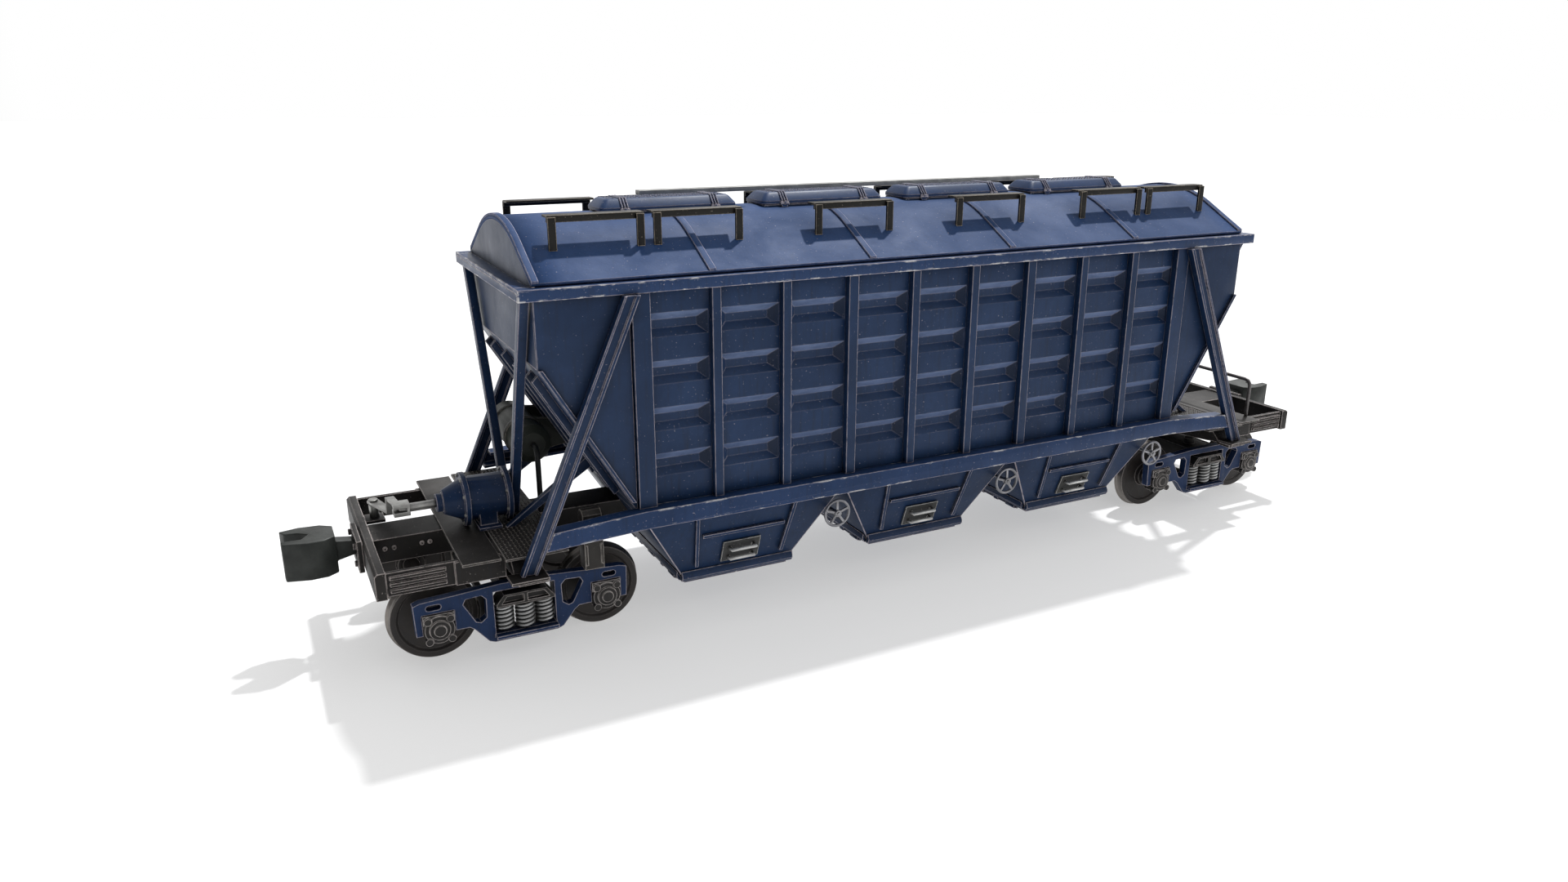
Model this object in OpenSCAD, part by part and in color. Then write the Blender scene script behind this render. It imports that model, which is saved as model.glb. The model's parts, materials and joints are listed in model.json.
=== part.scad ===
// Model of a broad gauge grain hopper wagon, scale 1:32, in millimetres.
// +X runs along the wagon, +Z is up, and the wheels stand on z = 0.

/* [Body] */
// Half the length of the closed body, over the end walls
body_x = 154.7; // [152:0.1:156]
// Half the width over the side sheets
sheet_y = 43.5; // [42.5:0.1:43.5]
// Height of the underside of the side sill
sill_z = 43.75; // [43:0.05:44]
// Depth of the side sill
sill_h = 6.55; // [6:0.05:7]
// Height of the underside of the eave rail
eave_z = 124.6; // [122:0.1:126]
// Height of the eave rail
eave_h = 3.9; // [3.5:0.1:4.2]
// Rise of the arched roof above the eave rail
roof_rise = 17.7; // [17:0.1:18.2]
// Thickness of all sheet metal
sheet_t = 1.2; // [1:0.1:1.3]
// Distance between neighbouring side posts
post_pitch = 26.64; // [26:0.02:27]
// Height at which the end wall turns into the end slope
knee_z = 102.4; // [98:0.1:106]

/* [Hoppers] */
// Distance between neighbouring hoppers
hopper_pitch = 80.3; // [80:0.1:81]
// Half the length of a hopper at its top
hopper_top_x = 39.7; // [39:0.1:39.8]
// Half the width of a hopper at its top
hopper_top_y = 42.2; // [41.8:0.1:42.2]
// Half the length of a hopper above its rim
hopper_low_x = 21.6; // [21:0.1:22]
// Half the width of a hopper above its rim
hopper_low_y = 31; // [30:0.1:32]
// Height of the underside of the hopper rim
rim_z = 13.1; // [12.8:0.1:13.5]
// Height of the hopper rim
rim_h = 3.8; // [3.4:0.1:4]

/* [Roof fittings] */
// Distance between neighbouring roof hatches
hatch_pitch = 62.5; // [62:0.1:63]
// Half the length of a hatch opening
hatch_x = 25.6; // [25:0.1:26.5]
// Half the width of a hatch opening
hatch_y = 7.8; // [7:0.1:8]
// Slope of the straight flanks of the roof, as rise over run
roof_slope = 0.53; // [0.5:0.01:0.56]
// Half the distance between the near and far walkway benches
bench_y = 29.7; // [29:0.1:30]

/* [Underframe] */
// Half the width of the centre sill
centre_y = 8; // [8:0.1:8.5]
// Half the distance between the headstocks
headstock_x = 206; // [204:0.5:207]
// Height of the deck
deck_z = 40; // [39.9:0.1:40.3]
// Height of the couplers
coupler_z = 36.4; // [36:0.1:36.6]

/* [Bogies] */
// Half the distance between the bogie pivots
pivot_x = 162; // [161.5:0.1:162.5]
// Half the distance between the axles of a bogie
axle_x = 28.9; // [28.7:0.1:29]
// Radius of the wheel tread
tread_r = 14.84; // [14.5:0.01:14.9]
// Radius of the wheel flange
flange_r = 15.72; // [15.5:0.01:15.8]
// Radius of the axle journal
journal_r = 2.4; // [2.2:0.1:2.6]
// Radial clearance of every running fit
running_gap = 0.05; // [0.03:0.01:0.08]

/* [Hidden] */

navy = "#2c4068";
charcoal = "#35322f";
steel = "#8b8b8b";
gap = 0.05;

sill_top = sill_z + sill_h;
eave_top = eave_z + eave_h;
eave_x = body_x + 5.1;
eave_y = sheet_y + 4.1;
roof_foot = sheet_y + 1.5;
roof_tilt = atan(roof_slope);
foot_z = eave_top + sheet_t + gap;
crown_r = (foot_z + roof_slope * roof_foot - eave_top - roof_rise) / (1 / cos(roof_tilt) - 1);
inner_y = sheet_y - sheet_t;
end_sheet_y = sheet_y + 1.8;
post_face = sheet_y + 3.2;
post_xs = [for (i = [-4.5 : 4.5]) i * post_pitch];
hatch_xs = [for (i = [-1.5 : 1.5]) i * hatch_pitch];
hopper_xs = [-hopper_pitch, 0, hopper_pitch];
slope_foot_x = hopper_pitch + hopper_top_x;
slope_run = (body_x - slope_foot_x) / (knee_z - sill_z);
groove_deep = 2.4;
groove_high = 8.1;
groove_pitch = 16.25;
groove_top = eave_z - 7.7;
bench_spans = [[14.4, 47.2], [75.9, 108.75], [111.9, 144.7]];
lid_z = 146.6;
lid_h = 4.2;
strap_x = 17.2;
hinge_y = hatch_y + 2.6;
hinge_z = lid_z + 0.9;
bench_top = 148.6;
wheel_xs = [for (x = hopper_xs) x + 36.6];
wheel_y = 43.9;
wheel_z = 34;
axle_z = flange_r;
door_z = rim_z - 0.9;
door_hinge_x = hopper_low_x + 0.9;
brake_y = -9.5;
tank_x = 146.9;
tank_z = 63.4;
lever_x = -202.4;
lever_y = 15;
brake_z = 50.5;
lever_z = 45.5;

// Height of the roof: straight flanks that meet the round crown at its tangents.
function roof_height(y) = abs(y) < crown_r * sin(roof_tilt)
    ? eave_top + roof_rise - crown_r + sqrt(crown_r * crown_r - y * y)
    : foot_z + roof_slope * (roof_foot - abs(y));
function roof_point(u, grow) = [roof_foot * u, roof_height(roof_foot * u) + grow];
function hopper_wall_x(z) = hopper_low_x
    + (hopper_top_x - hopper_low_x) * (z - rim_z - 0.4) / (sill_z - gap - rim_z - 0.4);
function slope_x(z) = slope_foot_x + slope_run * (z - sill_z);

// A box between two corners.
module block(low, high) {
    translate(low) cube(high - low);
}

// The same shape on the near side and on the far side.
module both_sides() {
    children();
    mirror([0, 1, 0]) children();
}

// The same shape at the left end and at the right end.
module both_ends() {
    children();
    mirror([1, 0, 0]) children();
}

// A plate standing along the wagon: outline in X and Z, between two Y planes.
module plate_xz(y0, y1, points) {
    translate([0, y1, 0]) rotate([90, 0, 0]) linear_extrude(y1 - y0) polygon(points);
}

// A plate standing across the wagon: outline in Y and Z, between two X planes.
module plate_yz(x0, x1, points) {
    translate([x0, 0, 0]) rotate([90, 0, 90]) linear_extrude(x1 - x0) polygon(points);
}

// A round bar or disc along Y.
module rod_y(x, z, y0, y1, r) {
    translate([x, y1, z]) rotate([90, 0, 0]) cylinder(r = r, h = y1 - y0, $fn = 48);
}

// A round bar along X.
module rod_x(y, z, x0, x1, r) {
    translate([x0, y, z]) rotate([0, 90, 0]) cylinder(r = r, h = x1 - x0, $fn = 48);
}

// A square bar from one point to another.
module strut(p, q, wide, deep) {
    v = q - p;
    span = norm(v);
    turn = atan2(v[1], v[0]);
    tilt = acos(v[2] / span);
    translate(p) rotate([0, tilt, turn])
        translate([-deep / 2, -wide / 2, 0]) cube([deep, wide, span]);
}

// ---------------------------------------------------------------- underframe

module centre_sill() {
    color(charcoal) difference() {
        block([-headstock_x, -centre_y, 31], [headstock_x, centre_y, deck_z - 0.1]);
        block([-headstock_x - 1, -centre_y + 1.5, 30], [headstock_x + 1, centre_y - 1.5, deck_z - 1.6]);
    }
}

module headstock() {
    wide = 39.1;
    difference() {
        plate_xz(-wide, wide, [
            [headstock_x + gap, 31.2], [headstock_x + 3.6, 31.2], [headstock_x + 3.6, 39.6],
            [headstock_x + 2.6, 40.6], [headstock_x + gap, 40.6]
        ]);
        block([headstock_x - 1, -5.2, coupler_z - 4], [headstock_x + 5, 5.2, coupler_z + 3.2]);
    }
}

module striker_plate() {
    x = headstock_x + 3.65;
    difference() {
        block([x, -9.5, 29.4], [x + 1.8, 9.5, 41]);
        block([x - 1, -5.2, coupler_z - 4], [x + 3, 5.2, coupler_z + 3.2]);
    }
    for (y = [-7.4, 7.4]) for (z = [32.4, 38.6]) rod_x(y, z, x + 1.85, x + 2.8, 1.1);
}

module platform_rail() {
    x0 = pivot_x + 6.2;
    x1 = headstock_x - 0.05;
    block([x0, 36.2, 31.6], [x1, 37.8, deck_z - 0.1]);
    for (z = [33, 35.2, 37.4]) block([x1 - 18.6, 37.85, z], [x1 - 1, 38.8, z + 1.2]);
    block([x0, 37.85, 31.6], [x0 + 16.4, 38.9, deck_z - 0.1]);
}

module end_frames() {
    color(charcoal) both_ends() {
        headstock();
        striker_plate();
        both_sides() {
            platform_rail();
            block([pivot_x + 14, centre_y + gap, 34], [pivot_x + 17, 36.15, deck_z - 0.1]);
        }
    }
    // Bracket under the fixed pin of the brake lever.
    color(charcoal) block([-headstock_x, lever_y - 3.6, deck_z - 1.4], [lever_x + 3.2, lever_y + 3.6, deck_z - 0.15]);
}

module deck_plates() {
    color(charcoal) both_ends() {
        block([170.6, -44.8, deck_z], [183.2, 44.8, deck_z + 0.9]);
        block([148.6, -46.7, deck_z], [169.6, 46.7, deck_z + 0.9]);
    }
}

module body_bolsters() {
    color(charcoal) both_ends() both_sides() {
        plate_yz(pivot_x - 5, pivot_x + 5, [
            [centre_y + gap, 31.4], [centre_y + gap, deck_z - 0.1], [39, deck_z - 0.1],
            [44.6, 34.8], [45.2, 33.7], [38, 32.6], [26, 31.4]
        ]);
        block([pivot_x - 5, 45.3, 33.8], [pivot_x + 7.6, 53, 34.8]);
        block([pivot_x - 5, 44.2, 32.6], [pivot_x + 5, 51.5, 33.75]);
    }
}

// Kingpins with their centre plates, coupler pins, and the pin of the brake lever.
module pivot_pins() {
    color(steel) {
        both_ends() {
            translate([pivot_x, 0, 29.3]) cylinder(r = 8.8, h = 1.7, $fn = 64);
            translate([pivot_x, 0, 22]) cylinder(r = 3, h = 9.5, $fn = 64);
            translate([197.6, 0, 30.2]) cylinder(r = 1.5, h = deck_z - 1.6 - 30.2, $fn = 48);
        }
        translate([lever_x, lever_y, deck_z - 0.1]) cylinder(r = 1, h = lever_z + 1.2 - deck_z, $fn = 40);
        translate([lever_x, lever_y, lever_z + 0.6]) cylinder(r = 1.7, h = 0.6, $fn = 40);
        translate([lever_x, lever_y, deck_z - 0.1]) cylinder(r = 1.7, h = lever_z - 0.5 - deck_z, $fn = 40);
    }
}

// Knuckle coupler head and shank, swinging about a pin inside the centre sill.
module coupler() {
    x = headstock_x;
    difference() {
        union() {
            block([195, -2.4, coupler_z - 1.9], [x + 4, 2.4, coupler_z + 1.9]);
            translate([195, 0, coupler_z - 1.9]) cylinder(r = 2.4, h = 3.8, $fn = 48);
            plate_xz(-2.4, 2.4, [
                [x + 3.9, coupler_z - 1.9], [x + 5.5, coupler_z - 2.6], [x + 11.5, coupler_z - 4],
                [x + 11.5, coupler_z + 3.4], [x + 5.5, coupler_z + 2.6], [x + 3.9, coupler_z + 1.9]
            ]);
        }
        translate([197.6, 0, 20]) cylinder(r = 1.5 + running_gap, h = 30, $fn = 48);
    }
    translate([0, 0, coupler_z - 7.1]) linear_extrude(13.6) polygon([
        [x + 11.5, -5], [x + 15, -7.6], [x + 20.5, -8], [x + 28.2, -6], [x + 28.4, -2.8],
        [x + 22, -3.2], [x + 19.6, 0.4], [x + 22.8, 3], [x + 27, 3.8], [x + 28.4, 7],
        [x + 22.2, 8.4], [x + 15.2, 7.6], [x + 11.5, 5]
    ]);
}

module coupler_left() {
    color("#2d302d") mirror([1, 0, 0]) coupler();
}

module coupler_right() {
    color("#2d302d") coupler();
}

// ---------------------------------------------------------------- body shell

// The sill is straight between the end posts and droops towards the braces.
module side_sill() {
    bend = 122;
    top = [[-154, sill_top - 2], [-bend, sill_top], [bend, sill_top], [154, sill_top - 2]];
    low = [[156.6, sill_z - 1.7], [bend, sill_z], [-bend, sill_z], [-156.6, sill_z - 1.7]];
    t = sheet_t;
    plate_xz(48.4, 49.6, concat(top, low));
    plate_xz(44, 49.6, concat(top, [for (i = [3 : -1 : 0]) top[i] - [0, t]]));
    plate_xz(44, 49.6, concat([for (i = [3 : -1 : 0]) low[i] + [0, t]], low));
}

module side_sills() {
    color(navy) both_sides() side_sill();
}

// One pressed groove, as a body: sloped top, bottom and ends, flat floor.
module groove(x, z, grow) {
    out = sheet_y + (grow > 0 ? -0.2 : 1);
    floor_y = sheet_y - groove_deep - grow;
    half = 11.4 + grow;
    high = groove_high / 2 + grow;
    low = high - 2.6;
    run = half - 3.4;
    intersection() {
        plate_yz(x - 20, x + 20, [
            [out, z - high], [sheet_y, z - high], [floor_y, z - low],
            [floor_y, z + low], [sheet_y, z + high], [out, z + high]
        ]);
        translate([0, 0, z - 20]) linear_extrude(40) polygon([
            [x - half, out], [x - half, sheet_y], [x - run, floor_y],
            [x + run, floor_y], [x + half, sheet_y], [x + half, out]
        ]);
    }
}

module all_grooves(grow) {
    for (bay = [-4 : 4])
        for (row = [0 : 3])
            groove(bay * post_pitch, groove_top - groove_high / 2 - row * groove_pitch, grow);
}

module side_sheets() {
    color(navy) both_sides() difference() {
        union() {
            block([-121, inner_y, sill_z], [121, sheet_y, eave_z]);
            all_grooves(sheet_t);
        }
        all_grooves(0);
    }
}

module end_side_sheets() {
    color(navy) both_ends() both_sides() {
        plate_xz(end_sheet_y - sheet_t, end_sheet_y, [
            [123.4, sill_top], [slope_x(sill_top) + 0.4, sill_top], [body_x, knee_z],
            [body_x, eave_z], [123.4, eave_z]
        ]);
    }
}

// End wall that follows the roof, and the slope below it, as one bent sheet.
module end_sheet() {
    steps = 24;
    wide = end_sheet_y - sheet_t - gap;
    reach = (roof_foot - 0.1) / roof_foot;
    gable = [for (i = [-steps : steps]) roof_point(reach * i / steps, -sheet_t - gap)];
    plate_yz(body_x - sheet_t, body_x, concat(
        [[-wide, knee_z], [-wide, eave_top - 1.3], [-inner_y + 0.1, eave_top - 1.3]],
        [[-inner_y + 0.1, eave_top + gap]], gable, [[inner_y - 0.1, eave_top + gap]],
        [[inner_y - 0.1, eave_top - 1.3], [wide, eave_top - 1.3], [wide, knee_z]]
    ));
    difference() {
        plate_xz(-wide, wide, [
            [slope_x(sill_top), sill_top], [body_x, knee_z - gap],
            [body_x - 1.5, knee_z - gap], [slope_x(sill_top) - 1.5, sill_top]
        ]);
        block([100, -inner_y - 9, 0], [123.3, -inner_y + 0.1, sill_top + 30]);
        block([100, inner_y - 0.1, 0], [123.3, inner_y + 9, sill_top + 30]);
    }
    plate_xz(-inner_y + 0.1, inner_y - 0.1, [
        [slope_x(sill_z), sill_z + gap], [slope_x(sill_top), sill_top - gap],
        [slope_x(sill_top) - 1.5, sill_top - gap], [slope_x(sill_z) - 1.5, sill_z + gap]
    ]);
}

module end_sheets() {
    color(navy) both_ends() end_sheet();
}

module side_post(x, wide) {
    difference() {
        block([x - wide / 2, sheet_y + gap, sill_top], [x + wide / 2, post_face, eave_z - gap]);
        block([x - wide / 2 + 0.8, sheet_y, sill_top - 1], [x + wide / 2 - 0.8, post_face - 0.8, eave_z]);
    }
}

module side_posts() {
    color(navy) both_sides() {
        for (i = [0 : 9])
            side_post(post_xs[i], (i == 0 || i == 9) ? 6.4 : (i == 3 || i == 6) ? 3.9 : 3.3);
    }
}

module eave_rails() {
    t = sheet_t;
    color(navy) {
        both_sides() plate_yz(-eave_x, eave_x, [
            [inner_y, eave_top - t], [eave_y - t, eave_top - t], [eave_y - t, eave_z],
            [eave_y, eave_z], [eave_y, eave_top], [inner_y, eave_top]
        ]);
        both_ends() {
            block([body_x + gap, -inner_y + gap, eave_top - t], [eave_x, inner_y - gap, eave_top]);
            block([eave_x - t, -eave_y + t + gap, eave_z], [eave_x, eave_y - t - gap, eave_top - t - gap]);
        }
    }
}

// ---------------------------------------------------------------- roof

// A strip of the arched roof between two fractions of its half width.
module roof_strip(x0, x1, u0, u1, outer, inner, steps) {
    top = [for (i = [0 : steps]) roof_point(u0 + (u1 - u0) * i / steps, outer)];
    low = [for (i = [steps : -1 : 0]) roof_point(u0 + (u1 - u0) * i / steps, inner)];
    plate_yz(x0, x1, concat(top, low));
}

module roof_sheet() {
    edge = hatch_y / roof_foot;
    cuts = [edge + 0.001, 0.4, 0.6, 1];
    mouth = hatch_x - 0.4;
    ends = concat([-body_x], [for (x = hatch_xs) each [x - mouth, x + mouth]], [body_x]);
    color(navy) {
        both_sides() for (i = [0 : 2])
            roof_strip(-body_x, body_x, cuts[i], cuts[i + 1] - (i < 2 ? 0.001 : 0), 0, -sheet_t, 6);
        for (i = [0 : 4])
            roof_strip(ends[2 * i], ends[2 * i + 1], -edge, edge, 0, -sheet_t, 12);
    }
}

module roof_bands() {
    edge = (hatch_y + 2.9) / roof_foot;
    color(navy) both_sides() {
        for (x = hatch_xs) roof_strip(x - 1.3, x + 1.3, edge, 0.999, 0.8, 0.03, 24);
        both_ends() roof_strip(body_x - 2.4, body_x, 0.001, 0.999, 0.8, 0.03, 32);
    }
}

module hatch_coaming(x) {
    z0 = 143.4;
    z1 = lid_z - 0.3;
    far_x = hatch_x - 0.5;
    far_y = hatch_y - 0.1;
    for (s = [-1, 1]) {
        block([x + s * far_x - (s > 0 ? 1.2 : 0), -far_y, z0], [x + s * far_x + (s > 0 ? 0 : 1.2), far_y, z1]);
        block([x - far_x + 1.25, s * far_y - (s > 0 ? 1.2 : 0), z0], [x + far_x - 1.25, s * far_y + (s > 0 ? 0 : 1.2), z1]);
    }
}

// Two lugs on the roof that carry the hinge pin of one cover.
module hinge_lugs(x) {
    z0 = roof_height(hinge_y - 0.9) + gap;
    for (c = [x - strap_x, x + strap_x]) {
        block([c - 2.6, hinge_y - 0.9, z0], [c - 1.4, hinge_y + 0.9, hinge_z + 0.9]);
        block([c + 1.4, hinge_y - 0.9, z0], [c + 2.6, hinge_y + 0.9, hinge_z + 0.9]);
        rod_x(hinge_y, hinge_z, c - 2.6, c + 2.6, 0.5);
    }
}

module hatch_coamings() {
    color(navy) for (x = hatch_xs) {
        hatch_coaming(x);
        hinge_lugs(x);
    }
}

// Shallow lid with bevelled edges and two hinge eyes.
module hatch_cover(x) {
    color(navy) {
        hull() {
            block([x - hatch_x - 0.4, -hatch_y - 0.4, lid_z], [x + hatch_x + 0.4, hatch_y + 0.4, lid_z + 1.2]);
            block([x - hatch_x + 1.8, -hatch_y + 1.8, lid_z], [x + hatch_x - 1.8, hatch_y - 1.8, lid_z + lid_h]);
        }
        for (c = [x - strap_x, x + strap_x]) difference() {
            union() {
                block([c - 1.3, hatch_y - 0.5, hinge_z - 0.9], [c + 1.3, hinge_y, hinge_z + 0.9]);
                rod_x(hinge_y, hinge_z, c - 1.3, c + 1.3, 0.95);
            }
            rod_x(hinge_y, hinge_z, c - 2, c + 2, 0.5 + running_gap);
        }
    }
}

module hatch_cover_1() { hatch_cover(hatch_xs[0]); }
module hatch_cover_2() { hatch_cover(hatch_xs[1]); }
module hatch_cover_3() { hatch_cover(hatch_xs[2]); }
module hatch_cover_4() { hatch_cover(hatch_xs[3]); }

// Benches are narrow angles along the roof, and their legs stand outside them.
module roof_benches() {
    color("#262521") both_ends() both_sides() for (b = bench_spans) {
        block([b[0], bench_y - 1, bench_top - 2.3], [b[1], bench_y, bench_top]);
        block([b[0], bench_y - 5.5, bench_top - 0.8], [b[1], bench_y - 1 - gap, bench_top]);
    }
}

module bench_legs() {
    near = bench_y + gap;
    far = bench_y + 1.1;
    top = bench_top - 0.5;
    color("#262521") both_ends() both_sides() for (b = bench_spans) for (x = [b[0] + 1.4, b[1] - 1.4])
        plate_yz(x - 1.35, x + 1.35, [
            [near, roof_height(near) + gap], [near, top], [far, top], [far, roof_height(far) + gap]
        ]);
}

module roof_board() {
    y = 19.6;
    z = 149.2;
    color("#b4b4b4") {
        block([-95.5, y, z], [95.5, y + 4.6, z + 1.7]);
        for (x = [-88, -42, 42, 88])
            block([x - 1, y + 1.4, roof_height(y + 1.4) + gap], [x + 1, y + 2.6, z - gap]);
    }
}

// ---------------------------------------------------------------- braces

module corner_braces() {
    color(navy) both_ends() both_sides() {
        difference() {
            plate_xz(46.8, 50, [[120.9, eave_z - 0.1], [126.3, eave_z - 0.1], [165.6, 34.9], [160.2, 34.9]]);
            for (y = [[46, 47.7], [49.1, 51]]) plate_xz(y[0], y[1], [
                [121.9, eave_z + 1], [125, eave_z + 1], [165.2, 33], [162, 33]
            ]);
        }
    }
}

module end_struts() {
    color(navy) both_ends() {
        both_sides() strut([body_x + 2.2, 42.6, eave_z + 1.4], [body_x + 2.2, 5.6, deck_z + 1.7], 3.2, 3.2);
        both_sides() plate_xz(17, 19.6, [
            [slope_x(60) + gap, 60], [slope_x(63.5) + gap, 63.5], [163, deck_z + 0.95], [160, deck_z + 0.95]
        ]);
    }
}

// One rib on the side wall of a hopper, from (x, z) to (x, z) along the leaning wall.
module hopper_rib(p, q) {
    lean = (hopper_top_y - hopper_low_y) / (sill_z - rim_z);
    low_y = hopper_low_y + 0.25;
    turn = atan2(q[0] - p[0], q[1] - p[1]);
    translate([p[0], low_y + lean * (p[1] - rim_z), p[1]])
        rotate([-atan(lean), 0, 0]) rotate([0, turn, 0])
            translate([-0.7, 0, 0]) cube([1.4, 1, norm(q - p) / cos(atan(lean) * cos(turn))]);
}

// Angle stiffeners under the end slopes, folded lips at the slope edges, hopper ribs.
module stiffeners() {
    color(navy) {
        both_ends() {
            for (y = [-34, -26, -8.6, 8.6, 26, 34]) plate_xz(y - 0.8, y + 0.8, [
                [slope_x(54) + gap, 54], [slope_x(98) + gap, 98], [slope_x(98) + 2.1, 96], [slope_x(54) + 2.1, 52.6]
            ]);
            both_sides() plate_xz(end_sheet_y + gap, end_sheet_y + 1.4, [
                [slope_x(53), 53], [slope_x(knee_z), knee_z], [slope_x(knee_z) - 1.4, knee_z], [slope_x(53) - 1.4, 53]
            ]);
        }
        both_sides() for (x = hopper_xs) translate([x, 0, 0]) {
            both_ends() hopper_rib([17.4, 19], [19.6, 42]);
            hopper_rib([-16.6, 32.5], [16.6, 32.5]);
        }
    }
}

// ---------------------------------------------------------------- hoppers

module hopper_funnel(grow) {
    z0 = rim_z + 0.4 - (grow > 0 ? 0.01 : 0);
    z1 = sill_z - gap + (grow > 0 ? 0.01 : 0);
    top_x = hopper_top_x - grow;
    top_y = hopper_top_y - grow;
    low_x = hopper_low_x - grow;
    low_y = hopper_low_y - grow;
    thin = 0.01;
    hull() {
        block([-top_x, -top_y, z1 - thin], [top_x, top_y, z1]);
        block([-low_x, -low_y, z0], [low_x, low_y, z0 + thin]);
    }
}

// One of the four walls of a hopper, cut out of the funnel along its corner lines.
module hopper_wall(side) {
    dx = hopper_top_x - hopper_low_x;
    dy = hopper_top_y - hopper_low_y;
    low = [hopper_low_x - 2 * dx, hopper_low_y - 2 * dy];
    top = [hopper_top_x + dx, hopper_top_y + dy];
    slit = gap / 2;
    intersection() {
        difference() {
            hopper_funnel(0);
            hopper_funnel(sheet_t * 1.15);
            block([-60, -centre_y - 0.2, 30.8], [60, centre_y + 0.2, 60]);
        }
        linear_extrude(60) polygon(side == "end"
            ? [[low[0] + slit, low[1] - slit], [top[0] + slit, top[1] - slit],
               [top[0] + slit, -top[1] + slit], [low[0] + slit, -low[1] + slit]]
            : [[low[0] - slit, low[1] + slit], [top[0] - slit, top[1] + slit],
               [-top[0] + slit, top[1] + slit], [-low[0] + slit, low[1] + slit]]);
    }
}

module hoppers() {
    color(navy) for (x = hopper_xs) translate([x, 0, 0]) {
        both_ends() hopper_wall("end");
        both_sides() hopper_wall("side");
    }
}

// Bevelled bars round the outlet, with the hinge pins of the doors below them.
module hopper_rim() {
    x1 = hopper_low_x + 1.3;
    y1 = hopper_low_y + 1.3;
    both_sides() plate_yz(-x1, x1, [
        [y1 - 1.25, rim_z], [y1 + 0.4, rim_z], [y1 + 1.3, rim_z + 1.2],
        [y1 + 1.3, rim_z + 2.3], [y1 + 0.3, rim_z + rim_h], [y1 - 0.9, rim_z + 0.3]
    ]);
    both_ends() {
        rod_y(door_hinge_x, door_z, -26.5, 26.5, 0.4);
        for (y = [-12, 12]) block([door_hinge_x - 0.6, y - 1.5, door_z - 0.6], [door_hinge_x + 0.6, y + 1.5, rim_z + 0.2]);
    }
    both_ends() plate_xz(-y1 + 1.35, y1 - 1.35, [
        [x1 - 1.25, rim_z], [x1 + 0.4, rim_z], [x1 + 1.3, rim_z + 1.2],
        [x1 + 1.3, rim_z + 2.3], [x1 + 1.1, rim_z + rim_h], [x1 - 0.8, rim_z + 0.3]
    ]);
}

module hopper_rims() {
    color(navy) for (x = hopper_xs) translate([x, 0, 0]) hopper_rim();
}

module step_plates() {
    lean = (hopper_top_y - hopper_low_y) / (sill_z - rim_z - 0.4);
    color("#5a5a5a") both_sides() for (x = hopper_xs) {
        z0 = rim_z + 5.6;
        y0 = hopper_low_y + lean * (z0 - rim_z - 0.4);
        y1 = y0 + lean * 9;
        plate_yz(x - 7.6, x + 7.6, [[y0 + 0.12, z0], [y0 + 0.9, z0], [y1 + 0.9, z0 + 9], [y1 + 0.12, z0 + 9]]);
        for (z = [z0 + 1.8, z0 + 6]) {
            y = y0 + lean * (z - z0) + 1;
            rod_x(y + 2, z, x - 5, x + 5, 0.5);
            for (s = [-1, 1]) block([x + s * 4.6 - 0.4, y - 0.4, z - 0.35], [x + s * 4.6 + 0.4, y + 2, z + 0.35]);
        }
    }
}

// A spoked handwheel on a shaft that runs inboard.
module handwheel(x) {
    color(steel) translate([x, -wheel_y, wheel_z]) rotate([90, 0, 0]) {
        rotate_extrude($fn = 72) translate([5.1, 0]) circle(r = 0.55, $fn = 24);
        for (a = [18 : 72 : 306]) rotate([0, 0, a]) translate([0.6, -0.4, -0.3]) cube([4.3, 0.8, 0.6]);
        translate([0, 0, -0.9]) cylinder(r = 1.3, h = 2, $fn = 32);
        translate([0, 0, -26]) cylinder(r = 0.7, h = 27.7, $fn = 32);
    }
}

module handwheel_1() { handwheel(wheel_xs[0]); }
module handwheel_2() { handwheel(wheel_xs[1]); }
module handwheel_3() { handwheel(wheel_xs[2]); }

// Bearing arms welded to the end wall of each hopper.
module handwheel_brackets() {
    z0 = wheel_z - 1.6;
    z1 = wheel_z + 1.6;
    color(navy) for (x = wheel_xs) for (y = [-32, -20]) difference() {
        union() {
            translate([x - 36.6, 0, 0]) plate_xz(y - 0.7, y + 0.7, [
                [hopper_wall_x(z0) + gap, z0], [36.6, z0], [36.6, z1], [hopper_wall_x(z1) + gap, z1]
            ]);
            rod_y(x, wheel_z, y - 0.7, y + 0.7, 1.6);
        }
        rod_y(x, wheel_z, y - 2, y + 2, 0.7 + running_gap);
    }
}

// One leaf of the bottom door: three eyes turn about the pin at the outlet's edge.
module door_leaf(x, s) {
    edge = hopper_low_x - 0.3;
    color(navy) translate([x, 0, 0]) mirror([s > 0 ? 0 : 1, 0, 0]) difference() {
        union() {
            block([0.15, -hopper_low_y, door_z - 0.45], [edge, hopper_low_y, door_z + 0.45]);
            for (y = [-22, 0, 22]) {
                block([2, y - 0.6, door_z - 1.1], [edge - 2, y + 0.6, door_z - 0.4]);
                block([edge - 0.5, y - 3, door_z - 0.45], [door_hinge_x, y + 3, door_z + 0.45]);
                rod_y(door_hinge_x, door_z, y - 3, y + 3, 0.8);
            }
        }
        rod_y(door_hinge_x, door_z, -40, 40, 0.4 + running_gap);
    }
}

module door_1_left() { door_leaf(hopper_xs[0], -1); }
module door_1_right() { door_leaf(hopper_xs[0], 1); }
module door_2_left() { door_leaf(hopper_xs[1], -1); }
module door_2_right() { door_leaf(hopper_xs[1], 1); }
module door_3_left() { door_leaf(hopper_xs[2], -1); }
module door_3_right() { door_leaf(hopper_xs[2], 1); }

// ---------------------------------------------------------------- platform gear

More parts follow.
